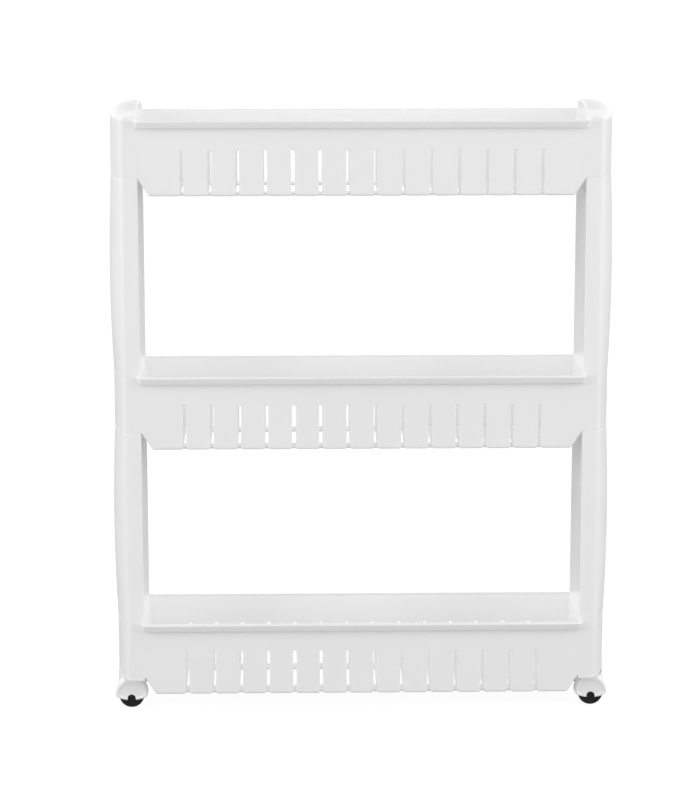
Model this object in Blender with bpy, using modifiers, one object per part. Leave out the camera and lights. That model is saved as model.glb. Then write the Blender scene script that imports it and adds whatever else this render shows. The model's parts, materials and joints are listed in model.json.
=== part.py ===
"""Slim three-tier rolling pantry cart in moulded plastic.

Three equal trays stack on hollow end panels, which plug into sockets at both ends of each
tray. A domed cap closes each top socket, and a foot in each bottom socket carries two fixed
casters. Metres, +Z up: the origin is on the floor under the middle of the cart, the cart
rolls along X, and its long sides face -Y and +Y.
"""
import math

import bmesh
import bpy
from mathutils import Matrix

# ---- driving dimensions, in metres ----
TIER_PITCH = 0.2935          # rim to rim
TIERS = ("bottom", "middle", "top")
BOTTOM_RIM = 0.108           # floor to the rim of the bottom tray
GAP = 0.0003                 # clearance between separate pieces
PAST = 0.002                 # how far a cutter runs past the face it cuts
WELD = 0.00001               # points closer than this are one point

TRAY_HEIGHT = 0.085          # rim to the underside of the basket
SOCKET_HEIGHT = 0.065        # rim to the lower edge of the end sockets
WALL = 0.002                 # wall of the trays
HALF_DEPTH = 0.0555          # middle of the cart to a tray's long wall
LIP_REACH = 0.008            # how far the lip stands out of the long wall
LIP_HEIGHT = 0.0075
LIP_HALF_LENGTH = 0.258
LIP_END_TAPER = 0.004
LIP_LEAN = 0.0025            # how much less the lip's lower edge stands out than its upper
INNER_X = 0.253              # middle of the cart to the inner face of an end panel
BASKET_HALF_FLOOR = 0.240    # half length of the basket's underside

CORNER_X = 0.272             # where the end arc meets the long wall
END_SAGITTA = 0.014          # how far the end arc swells past its corners
CORNER_FILLET = 0.004
MIN_FILLET = 0.0015          # smallest fillet left where an outline is shrunk
PANEL_BARREL = 0.003         # extra swelling of an upright at half its height

SLOT_COUNT = 14
SLOT_PITCH = 0.0313
SLOT_WIDTH = 0.0048
SLOT_TOP_DROP = 0.033        # rim to the top of the wall slots
SLOT_FLOOR_BITE = 0.006      # how far a wall slot cuts into the floor
FLOOR_SLOT_LENGTH = 0.063

PLUG_LENGTH = 0.018          # how far uprights, caps and feet enter a socket
PLUG_WALL = 0.002
PANEL_WALL = 0.0024          # wall of the uprights between their plugs
BARREL_STEPS = 6             # levels in an upright's swelling

CAP_RISE = 0.016             # rim to the crown of an end cap
CAP_END_RISE = 0.011         # rim to the top of the cap at its front and back
CAP_SHOULDER = 0.025         # width of the rounded outer shoulder
CAP_INNER_ROUND = 0.003
CAP_END_ROUND = 0.0070
CAP_SIDE_FOOT = 0.00075      # upright strip left under a cap's shoulder
CAP_STATIONS = (0.0, 0.0012, 0.0034, 0.0070, 0.018, 0.036)   # depths in from a cap's end

WHEEL_SIDES = 20
WHEEL_RADIUS = 0.0146
WHEEL_WIDTH = 0.0096
AXLE_Z = WHEEL_RADIUS * math.cos(math.pi / WHEEL_SIDES)   # a flat of the tread faces down
WHEEL_HUB_RADIUS = 0.0042
WHEEL_HUB_WIDTH = 0.0104
TREAD_ROUND = 0.0012
RIM_RADIUS = 0.0112          # inside of the tyre, where the wheel's side is dished
WEB_DISH = 0.0016
AXLE_RADIUS = 0.0015
CASTER_X = 0.2700
CASTER_Y = 0.0300            # middle of the cart to the middle of a wheel
HOOD_DEPTH = 0.0170
HOOD_HALF_WIDTH = 0.0189
HOOD_BOTTOM = 0.0092
HOOD_WIDEST = 0.0168
HOOD_TOP = 0.0390
HOOD_DOME_RISE = 0.0200      # height of the full ellipse above the widest level
HOOD_COLLAR = 0.0085         # half width of the collar between the dome and the foot
HOOD_BAND = 0.0030           # plain band round the dished side of a hood
HOOD_BAND_TOP = 0.0055       # the same band over the top of the dish
HOOD_DISH = 0.0007
HOOD_POCKET_WIDTH = 0.0112
HOOD_POCKET_RADIUS = 0.0162
NOTCH_WIDTH = 0.0092
NOTCH_TOP = 0.0134
STEM_RADIUS = 0.0030
STEM_TOP = 0.0575
STEM_SINK = 0.0052           # how far a stem enters its hood
STEM_BOSS_RADIUS = 0.009     # solid plastic kept round a stem in the foot

FOOT_SKIRT_BOTTOM = HOOD_TOP + GAP
FOOT_KEEL_BOTTOM = 0.0180
FOOT_KEEL_HALF_DEPTH = 0.0205
FOOT_KEEL_ROUND = 0.0080
FOOT_KEEL_LEVELS = (0.0, 0.0006, 0.002, 0.0045, FOOT_KEEL_ROUND)   # heights above its bottom
FOOT_BULGE = 0.0008

PIN_SIDES = 12               # sides of pins and bores
POCKET_SIDES = 24            # sides of the round pocket in a hood
DOME_STEPS = 6               # facets of each half of a hood's dome
CHIN_STEPS = 4               # facets of each half of a hood's lower edge
SHOULDER_STEPS = 6
INNER_ROUND_STEPS = 2
ARC_STEPS = 6
FILLET_STEPS = 2

cart = bpy.data.collections.new("pantry_cart")
cutters = bpy.data.collections.new("pantry_cart_cutters")


# ---- materials ----
def principled(name, color, roughness, metallic=0.0):
    """A plain Principled BSDF material."""
    material = bpy.data.materials.new(name)
    material.use_nodes = True
    shader = material.node_tree.nodes["Principled BSDF"]
    shader.inputs["Base Color"].default_value = (*color, 1.0)
    shader.inputs["Roughness"].default_value = roughness
    shader.inputs["Metallic"].default_value = metallic
    return material


def white_plastic(name):
    """Semi-gloss white moulded plastic."""
    return principled(name, (0.83, 0.83, 0.83), 0.35)


def black_plastic(name):
    """Black moulded plastic, as on the wheels."""
    return principled(name, (0.015, 0.015, 0.015), 0.45)


def zinc_steel(name):
    """Zinc-plated steel, as on the pins."""
    return principled(name, (0.62, 0.62, 0.60), 0.30, 1.0)


# ---- making objects ----
def add_part(name, mesh, material):
    """Put a mesh in the scene as a named piece of the cart."""
    obj = bpy.data.objects.new(name, mesh)
    mesh.materials.append(material)
    cart.objects.link(obj)
    return obj


def apply_boolean(obj, operation, tools):
    """Join a group of tools to an object, or take them all away, with one live modifier."""
    group = bpy.data.collections.new(f"{obj.name}_{operation.lower()}")
    cutters.children.link(group)
    for name, mesh in tools:
        tool = bpy.data.objects.new(name, mesh)
        tool.hide_render = True
        tool.display_type = "WIRE"
        group.objects.link(tool)
    modifier = obj.modifiers.new(operation.lower(), "BOOLEAN")
    modifier.operation = operation
    modifier.solver = "EXACT"
    modifier.operand_type = "COLLECTION"
    modifier.collection = group


def unite(obj, *meshes):
    """Join meshes to an object."""
    apply_boolean(obj, "UNION", [(mesh.name, mesh) for mesh in meshes])


def cut(obj, *meshes):
    """Take meshes away from an object."""
    apply_boolean(obj, "DIFFERENCE", [(mesh.name, mesh) for mesh in meshes])


def extruded(name, outline, start, end, axis="Z"):
    """A mesh with one closed outline, drawn in the plane across an axis, from start to end.

    Across Z the outline is (x, y). Across Y it is (x, z).
    """
    curve = bpy.data.curves.new(name, "CURVE")
    curve.dimensions = "2D"
    curve.fill_mode = "BOTH"
    curve.extrude = abs(end - start) / 2
    spline = curve.splines.new("POLY")
    spline.points.add(len(outline) - 1)
    for point, (u, v) in zip(spline.points, outline):
        point.co = (u, v, 0.0, 1.0)
    spline.use_cyclic_u = True
    guide = bpy.data.objects.new(name + "_outline", curve)
    bpy.context.scene.collection.objects.link(guide)
    middle = (start + end) / 2
    if axis == "Z":
        guide.matrix_world = Matrix.Translation((0.0, 0.0, middle))
    else:
        turn = Matrix.Rotation(math.pi / 2, 4, "X")
        guide.matrix_world = Matrix.Translation((0.0, middle, 0.0)) @ turn
    bpy.context.view_layer.update()
    evaluated = guide.evaluated_get(bpy.context.evaluated_depsgraph_get())
    mesh = bpy.data.meshes.new_from_object(evaluated)
    mesh.name = name
    mesh.transform(guide.matrix_world)
    bpy.data.objects.remove(guide)
    bpy.data.curves.remove(curve)
    weld_and_orient(mesh)
    return mesh


def weld_and_orient(mesh):
    """Join the loose caps of a mesh and turn its faces outwards."""
    work = bmesh.new()
    work.from_mesh(mesh)
    bmesh.ops.remove_doubles(work, verts=work.verts, dist=WELD)
    bmesh.ops.recalc_face_normals(work, faces=work.faces)
    work.to_mesh(mesh)
    work.free()


def lofted(name, sections):
    """A closed mesh through a row of sections that have equal numbers of points."""
    work = bmesh.new()
    rings = [[work.verts.new(point) for point in section] for section in sections]
    count = len(sections[0])
    for ring, following in zip(rings, rings[1:]):
        for index in range(count):
            after = (index + 1) % count
            work.faces.new((ring[index], ring[after], following[after], following[index]))
    work.faces.new(list(reversed(rings[0])))
    work.faces.new(rings[-1])
    bmesh.ops.recalc_face_normals(work, faces=work.faces)
    mesh = bpy.data.meshes.new(name)
    work.to_mesh(mesh)
    work.free()
    return mesh


def boxes(name, corner_pairs):
    """A mesh of separate boxes, each from its lowest to its highest corner."""
    work = bmesh.new()
    for low, high in corner_pairs:
        size = [b - a for a, b in zip(low, high)]
        middle = [(a + b) / 2 for a, b in zip(low, high)]
        place = Matrix.Translation(middle) @ Matrix.Diagonal((*size, 1.0))
        bmesh.ops.create_cube(work, size=1.0, matrix=place)
    mesh = bpy.data.meshes.new(name)
    work.to_mesh(mesh)
    work.free()
    return mesh


def cylinders(name, pieces, axis="Z", sides=PIN_SIDES):
    """A mesh of separate cylinders, each (centre, radius, length), along one axis."""
    turn = Matrix.Rotation(math.pi / 2, 4, "X") if axis == "Y" else Matrix.Identity(4)
    work = bmesh.new()
    for centre, radius, length in pieces:
        bmesh.ops.create_cone(
            work, cap_ends=True, segments=sides, radius1=radius, radius2=radius,
            depth=length, matrix=Matrix.Translation(centre) @ turn)
    mesh = bpy.data.meshes.new(name)
    work.to_mesh(mesh)
    work.free()
    return mesh


def round_off(obj, angle_degrees=35.0):
    """Shade an object smooth, with its true edges sharp."""
    obj.data.shade_smooth()
    obj.data.set_sharp_from_angle(angle=math.radians(angle_degrees))


# ---- the plan outline shared by sockets, uprights, caps and feet ----
def end_outline(side, inset=0.0, barrel=0.0):
    """Plan points of one end of the cart: flat inner side, swollen outer side.

    side is +1 for the right end and -1 for the left, inset shrinks the outline evenly, and
    barrel swells the outer arc beyond END_SAGITTA.
    """
    sagitta = END_SAGITTA + barrel
    radius = (HALF_DEPTH ** 2 + sagitta ** 2) / (2 * sagitta)
    centre_x = CORNER_X + sagitta - radius
    half_depth = HALF_DEPTH - inset
    fillet = max(CORNER_FILLET - inset, MIN_FILLET)
    fillet_y = half_depth - fillet
    reach = radius - inset - fillet
    fillet_x = centre_x + math.sqrt(reach ** 2 - fillet_y ** 2)
    tangent = math.asin(fillet_y / reach)
    points = [(INNER_X + inset, -half_depth)]
    for step in range(FILLET_STEPS + 1):
        angle = -math.pi / 2 + (math.pi / 2 - tangent) * step / FILLET_STEPS
        points.append((fillet_x + fillet * math.cos(angle), -fillet_y + fillet * math.sin(angle)))
    for step in range(1, ARC_STEPS):
        angle = -tangent + 2 * tangent * step / ARC_STEPS
        along = radius - inset
        points.append((centre_x + along * math.cos(angle), along * math.sin(angle)))
    for step in range(FILLET_STEPS + 1):
        angle = tangent + (math.pi / 2 - tangent) * step / FILLET_STEPS
        points.append((fillet_x + fillet * math.cos(angle), fillet_y + fillet * math.sin(angle)))
    points.append((INNER_X + inset, half_depth))
    if side < 0:
        points = [(-x, y) for x, y in reversed(points)]
    return points


def at_height(outline, z):
    return [(x, y, z) for x, y in outline]


# ---- trays ----
def tray_body(name, rim):
    """The upper part of a tray, both end sockets included, in one plan outline."""
    outline = end_outline(+1)[1:-1] + end_outline(-1)[1:-1]
    return extruded(name, outline, rim - SOCKET_HEIGHT, rim)


def basket_outline(rim, half_top, half_floor, top, floor, corner_drop):
    """Side view of the basket, whose lower corners are cut off on a slant."""
    return [
        (-half_top, rim + top), (-half_top, rim - corner_drop), (-half_floor, rim - floor),
        (half_floor, rim - floor), (half_top, rim - corner_drop), (half_top, rim + top)]


def lip_outline(facing, lean):
    """Plan of a long lip at one level. facing is -1 at the front, +1 at the back."""
    root = HALF_DEPTH - WALL / 2
    reach = HALF_DEPTH + LIP_REACH - lean
    half = LIP_HALF_LENGTH - lean
    short_half = half - LIP_END_TAPER
    return [(-half, facing * root), (-short_half, facing * reach),
            (short_half, facing * reach), (half, facing * root)]


def lip_solid(name, facing, rim):
    """A lip that flares outwards from its lower edge to the rim."""
    return lofted(name, [at_height(lip_outline(facing, LIP_LEAN), rim - LIP_HEIGHT),
                         at_height(lip_outline(facing, 0.0), rim)])


def slot_boxes(rim):
    """Cutter boxes of the wall slots and the floor slots of one tray."""
    low_z = rim - TRAY_HEIGHT - PAST
    pairs = []
    for index in range(SLOT_COUNT):
        x = (index - (SLOT_COUNT - 1) / 2) * SLOT_PITCH
        left = x - SLOT_WIDTH / 2
        right = x + SLOT_WIDTH / 2
        outer = HALF_DEPTH + PAST
        inner = HALF_DEPTH - SLOT_FLOOR_BITE
        slot_top = rim - SLOT_TOP_DROP
        pairs.append(((left, -outer, low_z), (right, -inner, slot_top)))
        pairs.append(((left, inner, low_z), (right, outer, slot_top)))
        half = FLOOR_SLOT_LENGTH / 2
        floor_top = rim - TRAY_HEIGHT + WALL + PAST
        pairs.append(((left, -half, low_z), (right, half, floor_top)))
    return pairs


def lip_groove(name, facing, rim):
    """Cutter that hollows a lip from below."""
    wall_side = facing * HALF_DEPTH
    skin_side = facing * (HALF_DEPTH + LIP_REACH - LIP_LEAN - WALL)
    half = LIP_HALF_LENGTH - LIP_END_TAPER - LIP_LEAN - WALL
    return boxes(name, [((-half, min(wall_side, skin_side), rim - LIP_HEIGHT - PAST),
                         (half, max(wall_side, skin_side), rim - WALL))])


def make_tray(tier):
    """One tray: a slotted basket between two end sockets, with a lip on each long side."""
    rim = BOTTOM_RIM + TIERS.index(tier) * TIER_PITCH
    name = "tray_" + tier
    tray = add_part(name, tray_body(name, rim), white_plastic("white_" + name))

    outside = basket_outline(rim, INNER_X, BASKET_HALF_FLOOR, -SOCKET_HEIGHT / 2,
                             TRAY_HEIGHT, SOCKET_HEIGHT)
    unite(tray,
          extruded(name + "_basket", outside, -HALF_DEPTH, HALF_DEPTH, axis="Y"),
          lip_solid(name + "_lip_front", -1, rim), lip_solid(name + "_lip_back", +1, rim))

    inside = basket_outline(rim, INNER_X, BASKET_HALF_FLOOR - WALL / 2, PAST,
                            TRAY_HEIGHT - WALL, SOCKET_HEIGHT - 2 * WALL)
    depth = HALF_DEPTH - WALL
    socket_low = rim - SOCKET_HEIGHT - PAST
    cut(tray,
        extruded(name + "_inside", inside, -depth, depth, axis="Y"),
        extruded(name + "_socket_left", end_outline(-1, WALL), socket_low, rim + PAST),
        extruded(name + "_socket_right", end_outline(+1, WALL), socket_low, rim + PAST),
        lip_groove(name + "_groove_front", -1, rim),
        lip_groove(name + "_groove_back", +1, rim),
        boxes(name + "_slots", slot_boxes(rim)))
    round_off(tray)


# ---- uprights ----
def barrel_sections(side, inset, bottom, top):
    """Sections of an upright from bottom to top, swollen most at half height."""
    sections = []
    for step in range(BARREL_STEPS + 1):
        share = step / BARREL_STEPS
        barrel = PANEL_BARREL * (1 - (2 * share - 1) ** 2)
        z = bottom + (top - bottom) * share
        sections.append(at_height(end_outline(side, inset, barrel), z))
    return sections


def make_upright(tier, side, where):
    """A hollow end panel between two tiers, plugged into the sockets above and below."""
    index = ("lower", "upper").index(tier)
    bottom = BOTTOM_RIM + index * TIER_PITCH + GAP
    top = BOTTOM_RIM + (index + 1) * TIER_PITCH - SOCKET_HEIGHT - GAP
    name = f"upright_{tier}_{where}"
    plug = end_outline(side, WALL + GAP)
    sections = [at_height(plug, bottom - PLUG_LENGTH), at_height(plug, bottom)]
    sections += barrel_sections(side, 0.0, bottom, top)
    sections += [at_height(plug, top), at_height(plug, top + PLUG_LENGTH)]
    upright = add_part(name, lofted(name, sections), white_plastic("white_" + name))

    chamber = barrel_sections(side, PANEL_WALL, bottom + PANEL_WALL, top - PANEL_WALL)
    cut(upright,
        lofted(name + "_chamber", chamber),
        extruded(name + "_core", end_outline(side, WALL + GAP + PLUG_WALL),
                 bottom - PLUG_LENGTH - PAST, top + PLUG_LENGTH + PAST))
    round_off(upright)


# ---- end caps ----
def cap_station(side, y, rim):
    """Cross-section of an end cap at one depth: flat inner side, crown, rounded shoulder."""
    arc_radius = (HALF_DEPTH ** 2 + END_SAGITTA ** 2) / (2 * END_SAGITTA)
    centre_x = CORNER_X + END_SAGITTA - arc_radius
    outer = centre_x + math.sqrt(arc_radius ** 2 - y ** 2)
    from_end = HALF_DEPTH - abs(y)
    crown = CAP_END_RISE + (CAP_RISE - CAP_END_RISE) * (1 - (y / HALF_DEPTH) ** 2)
    if from_end < CAP_END_ROUND:
        drop = CAP_END_ROUND - from_end
        crown -= CAP_END_ROUND - math.sqrt(CAP_END_ROUND ** 2 - drop ** 2)
    if from_end < CORNER_FILLET:
        drop = CORNER_FILLET - from_end
        outer -= CORNER_FILLET - math.sqrt(CORNER_FILLET ** 2 - drop ** 2)
    base = rim + GAP
    top = rim + crown
    points = [(INNER_X, base)]
    for step in range(INNER_ROUND_STEPS + 1):
        angle = math.pi / 2 * step / INNER_ROUND_STEPS
        points.append((INNER_X + CAP_INNER_ROUND * (1 - math.cos(angle)),
                       top - CAP_INNER_ROUND * (1 - math.sin(angle))))
    shoulder_height = crown - GAP - CAP_SIDE_FOOT
    shoulder = min(CAP_SHOULDER, outer - INNER_X - 2 * CAP_INNER_ROUND)
    for step in range(SHOULDER_STEPS + 1):
        angle = math.pi / 2 * (1 - step / SHOULDER_STEPS)
        points.append((outer - shoulder * (1 - math.cos(angle)),
                       top - shoulder_height * (1 - math.sin(angle))))
    points.append((outer, base))
    return [(side * x, y, z) for x, z in points]


def make_end_cap(side, where):
    """The domed cap that closes a socket of the top tray."""
    rim = BOTTOM_RIM + 2 * TIER_PITCH
    name = "end_cap_" + where
    depths = [from_end - HALF_DEPTH for from_end in CAP_STATIONS]
    depths += [0.0] + [-depth for depth in reversed(depths)]
    stations = [cap_station(side, y, rim) for y in depths]
    cap = add_part(name, lofted(name, stations), white_plastic("white_" + name))
    unite(cap, extruded(name + "_plug", end_outline(side, WALL + GAP),
                        rim - PLUG_LENGTH, rim + PAST))
    cut(cap, extruded(name + "_core", end_outline(side, WALL + GAP + PLUG_WALL),
                      rim - PLUG_LENGTH - PAST, rim + PAST))
    round_off(cap)


# ---- feet ----
def keel_section(side, z):
    """Plan of a foot's keel at one height: the outer side tucks in near the bottom."""
    from_bottom = z - FOOT_KEEL_BOTTOM
    tuck = 0.0
    if from_bottom < FOOT_KEEL_ROUND:
        drop = FOOT_KEEL_ROUND - from_bottom
        tuck = FOOT_KEEL_ROUND - math.sqrt(FOOT_KEEL_ROUND ** 2 - drop ** 2)
    arc_radius = (HALF_DEPTH ** 2 + END_SAGITTA ** 2) / (2 * END_SAGITTA)
    centre_x = CORNER_X + END_SAGITTA - arc_radius + FOOT_BULGE
    half = FOOT_KEEL_HALF_DEPTH
    points = [(INNER_X + WALL, -half)]
    for step in range(ARC_STEPS + 1):
        y = -half + 2 * half * step / ARC_STEPS
        points.append((centre_x + math.sqrt(arc_radius ** 2 - y ** 2) - tuck, y))
    points.append((INNER_X + WALL, half))
    return [(side * x, y, z) for x, y in points]


def make_foot(side, where):
    """The foot in a bottom socket: skirt, plug, keel, and a bore for each caster's stem."""
    seat = BOTTOM_RIM - SOCKET_HEIGHT - GAP
    name = "foot_" + where
    skirt = extruded(name, end_outline(side), FOOT_SKIRT_BOTTOM, seat)
    foot = add_part(name, skirt, white_plastic("white_" + name))
    plug_top = seat + PLUG_LENGTH
    plug = extruded(name + "_plug", end_outline(side, WALL + GAP), seat - PAST / 2, plug_top)
    levels = [FOOT_KEEL_BOTTOM + height for height in FOOT_KEEL_LEVELS] + [seat - PAST / 2]
    keel = lofted(name + "_keel", [keel_section(side, z) for z in levels])
    unite(foot, plug, keel)

    pocket_low = seat - PAST / 2
    inner = INNER_X + WALL + GAP + PLUG_WALL
    outer = CORNER_X - PLUG_WALL
    stem_bay = CASTER_Y - STEM_BOSS_RADIUS
    end_bay = CASTER_Y + STEM_BOSS_RADIUS
    end_limit = HALF_DEPTH - WALL - GAP - PLUG_WALL
    pockets = []
    for low_y, high_y in ((-end_limit, -end_bay), (-stem_bay, stem_bay), (end_bay, end_limit)):
        pockets.append(((min(side * inner, side * outer), low_y, pocket_low),
                        (max(side * inner, side * outer), high_y, plug_top + PAST)))
    bore_middle = (FOOT_SKIRT_BOTTOM + plug_top) / 2
    bore_length = plug_top - FOOT_SKIRT_BOTTOM + 2 * PAST
    bores = [((side * CASTER_X, y, bore_middle), STEM_RADIUS + GAP, bore_length)
             for y in (-CASTER_Y, CASTER_Y)]
    cut(foot, boxes(name + "_pockets", pockets), cylinders(name + "_bores", bores))
    round_off(foot)


# ---- casters ----
def hood_arc(half_width, rise, start, end, steps):
    """Points of an ellipse about the widest level of a hood, between two angles."""
    points = []
    for step in range(steps + 1):
        angle = start + (end - start) * step / steps
        points.append((half_width * math.cos(angle), HOOD_WIDEST + rise * math.sin(angle)))
    return points


def hood_outline():
    """Side view of a hood: rounded below, domed above, with a collar on top."""
    end_angle = math.acos(HOOD_COLLAR / HOOD_HALF_WIDTH)
    right = hood_arc(HOOD_HALF_WIDTH, HOOD_WIDEST - HOOD_BOTTOM, -math.pi / 2, 0.0, CHIN_STEPS)
    right += hood_arc(HOOD_HALF_WIDTH, HOOD_DOME_RISE, 0.0, end_angle, DOME_STEPS)[1:]
    right.append((HOOD_COLLAR, HOOD_TOP))
    left = [(-x, z) for x, z in reversed(right[1:])]
    return right + left


def dish_outline():
    """Side view of the shallow dish in each face of a hood."""
    half_width = HOOD_HALF_WIDTH - HOOD_BAND
    below = hood_arc(half_width, HOOD_WIDEST - HOOD_BOTTOM - HOOD_BAND,
                     math.pi, 2 * math.pi, 2 * CHIN_STEPS)
    above = hood_arc(half_width, HOOD_DOME_RISE - HOOD_BAND_TOP, 0.0, math.pi, 2 * DOME_STEPS)
    return below + above[1:-1]


def shifted(outline, x):
    return [(x + u, v) for u, v in outline]


def make_hood(name, x, y):
    """The caster's housing, open below, with a notch at each end of the axle."""
    half = HOOD_DEPTH / 2
    body = extruded(name, shifted(hood_outline(), x), y - half, y + half, axis="Y")
    hood = add_part(name, body, white_plastic("white_" + name))

    tools = []
    dish = shifted(dish_outline(), x)
    for facing, where in ((-1, "front"), (1, "back")):
        face = y + facing * half
        tools.append(extruded(f"{name}_dish_{where}", dish, face - facing * HOOD_DISH,
                              face + facing * PAST, axis="Y"))
    pocket = HOOD_POCKET_WIDTH / 2
    tools.append(cylinders(name + "_pocket", [
        ((x, y, AXLE_Z), HOOD_POCKET_RADIUS, HOOD_POCKET_WIDTH)], "Y", POCKET_SIDES))
    mouth = HOOD_POCKET_RADIUS * math.cos(math.pi / POCKET_SIDES)
    tools.append(boxes(name + "_mouth", [
        ((x - mouth, y - pocket, HOOD_BOTTOM - PAST), (x + mouth, y + pocket, AXLE_Z))]))
    tools.append(boxes(name + "_notch", [
        ((x - NOTCH_WIDTH / 2, y - half - PAST, HOOD_BOTTOM - PAST),
         (x + NOTCH_WIDTH / 2, y + half + PAST, NOTCH_TOP))]))
    tools.append(cylinders(name + "_seat", [
        ((x, y, AXLE_Z), AXLE_RADIUS + GAP, HOOD_DEPTH + 2 * PAST)], "Y"))
    bore_low = HOOD_TOP - STEM_SINK - GAP
    tools.append(cylinders(name + "_bore", [
        ((x, y, (bore_low + HOOD_TOP + PAST) / 2), STEM_RADIUS + GAP,
         HOOD_TOP + PAST - bore_low)]))
    cut(hood, *tools)
    round_off(hood)


def wheel_profile():
    """Half section of a wheel, (distance from the axle, distance along it)."""
    bore = AXLE_RADIUS + GAP
    half = WHEEL_WIDTH / 2
    hub = WHEEL_HUB_WIDTH / 2
    web = half - WEB_DISH
    side = [(bore, hub), (WHEEL_HUB_RADIUS, hub), (WHEEL_HUB_RADIUS, web), (RIM_RADIUS, web),
            (RIM_RADIUS, half), (WHEEL_RADIUS - TREAD_ROUND, half),
            (WHEEL_RADIUS, half - TREAD_ROUND)]
    return side + [(radius, -along) for radius, along in reversed(side)]


def make_wheel(name, x, y):
    """A black wheel, turned about its axle, with a flat of its tread facing down."""
    profile = wheel_profile()
    work = bmesh.new()
    verts = [work.verts.new((radius, 0.0, along)) for radius, along in profile]
    for start, end in zip(verts, verts[1:] + verts[:1]):
        work.edges.new((start, end))
    mesh = bpy.data.meshes.new(name)
    work.to_mesh(mesh)
    work.free()
    wheel = add_part(name, mesh, black_plastic("black_" + name))
    wheel.location = (x, y, AXLE_Z)
    half_step = math.pi / WHEEL_SIDES
    wheel.rotation_euler = (math.pi / 2, half_step, 0.0)
    screw = wheel.modifiers.new("turn", "SCREW")
    screw.steps = WHEEL_SIDES
    screw.render_steps = WHEEL_SIDES
    screw.use_merge_vertices = True
    screw.merge_threshold = WELD
    screw.use_normal_calculate = True
    round_off(wheel)


def make_axle(name, x, y):
    """The steel pin that a wheel turns on."""
    mesh = cylinders(name, [((0.0, 0.0, 0.0), AXLE_RADIUS, HOOD_DEPTH - 2 * HOOD_DISH - GAP)], "Y")
    axle = add_part(name, mesh, zinc_steel("steel_" + name))
    axle.location = (x, y, AXLE_Z)
    round_off(axle)


def make_stem(name, x, y):
    """The steel stem that holds a hood to its foot."""
    low = HOOD_TOP - STEM_SINK
    mesh = cylinders(name, [((0.0, 0.0, (STEM_TOP - low) / 2), STEM_RADIUS, STEM_TOP - low)])
    stem = add_part(name, mesh, zinc_steel("steel_" + name))
    stem.location = (x, y, low)
    round_off(stem)


def make_retainer(name, x, y, facing):
    """The black clip that shuts a hood's notch under the axle."""
    outer = y + facing * (HOOD_DEPTH / 2 - HOOD_DISH)
    inner = y + facing * (HOOD_POCKET_WIDTH / 2 + GAP)
    half_width = NOTCH_WIDTH / 2 - GAP
    top = NOTCH_TOP - GAP
    mesh = boxes(name, [((x - half_width, min(outer, inner), HOOD_BOTTOM + GAP),
                         (x + half_width, max(outer, inner), top))])
    clip = add_part(name, mesh, black_plastic("black_" + name))
    cut(clip, cylinders(name + "_cradle", [
        ((x, (outer + inner) / 2, AXLE_Z), AXLE_RADIUS + GAP, HOOD_DEPTH)], "Y"))
    round_off(clip)


def make_caster(side, end_name, facing, depth_name):
    """One fixed caster: hood, wheel, axle, stem and the two clips under the axle."""
    tag = f"{depth_name}_{end_name}"
    x = side * CASTER_X
    y = facing * CASTER_Y
    make_hood("caster_hood_" + tag, x, y)
    make_wheel("wheel_" + tag, x, y)
    make_axle("axle_" + tag, x, y)
    make_stem("caster_stem_" + tag, x, y)
    make_retainer("axle_clip_outer_" + tag, x, y, facing)
    make_retainer("axle_clip_inner_" + tag, x, y, -facing)


def main():
    for obj in list(bpy.data.objects):
        bpy.data.objects.remove(obj, do_unlink=True)
    bpy.context.scene.collection.children.link(cart)
    bpy.context.scene.collection.children.link(cutters)
    for tier in TIERS:
        make_tray(tier)
    for side, end_name in ((-1, "left"), (1, "right")):
        for tier in ("lower", "upper"):
            make_upright(tier, side, end_name)
        make_end_cap(side, end_name)
        make_foot(side, end_name)
        for facing, depth_name in ((-1, "front"), (1, "back")):
            make_caster(side, end_name, facing, depth_name)


main()
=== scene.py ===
"""Looks of the slim rolling pantry cart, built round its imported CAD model.

Every CAD node is replaced by a finer piece of the same size and place: trays with rounded
edges and slots, swollen uprights, domed caps, feet, and casters with turned wheels. The
right-hand pieces are made once, and turned half a turn about Z for the left end.
Metres, +Z up. The cart rolls along X, and its front faces -Y.
"""
import json
import math

import bmesh
import bpy
from mathutils import Matrix, Vector


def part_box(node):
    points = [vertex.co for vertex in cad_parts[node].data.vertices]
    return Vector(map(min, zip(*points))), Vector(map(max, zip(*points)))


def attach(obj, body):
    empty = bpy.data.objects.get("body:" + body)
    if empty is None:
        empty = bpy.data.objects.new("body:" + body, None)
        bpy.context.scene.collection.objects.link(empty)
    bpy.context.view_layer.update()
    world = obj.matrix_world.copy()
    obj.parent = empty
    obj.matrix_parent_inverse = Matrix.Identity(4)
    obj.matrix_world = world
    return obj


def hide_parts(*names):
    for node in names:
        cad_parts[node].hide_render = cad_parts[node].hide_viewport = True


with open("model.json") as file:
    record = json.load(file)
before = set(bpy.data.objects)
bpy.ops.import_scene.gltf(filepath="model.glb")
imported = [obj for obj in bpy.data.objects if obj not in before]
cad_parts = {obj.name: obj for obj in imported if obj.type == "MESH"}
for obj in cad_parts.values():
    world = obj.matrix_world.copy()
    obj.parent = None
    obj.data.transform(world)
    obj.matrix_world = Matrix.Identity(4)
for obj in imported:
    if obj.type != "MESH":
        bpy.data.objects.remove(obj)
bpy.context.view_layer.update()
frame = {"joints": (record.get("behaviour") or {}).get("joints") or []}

# ---- sizes read from the CAD model ----
TIERS = ("bottom", "middle", "top")
RIMS = {tier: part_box("tray_" + tier)[1].z for tier in TIERS}
TRAY_LOW, TRAY_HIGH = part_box("tray_top")
UPRIGHT_LOW, UPRIGHT_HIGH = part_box("upright_upper_right")
FOOT_LOW, FOOT_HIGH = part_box("foot_right")
HOOD_LOW, HOOD_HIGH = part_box("caster_hood_front_right")
STEM_LOW, STEM_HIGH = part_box("caster_stem_front_right")
CAP_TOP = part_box("end_cap_right")[1].z - RIMS["top"]    # a cap's crown above the rim
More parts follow.
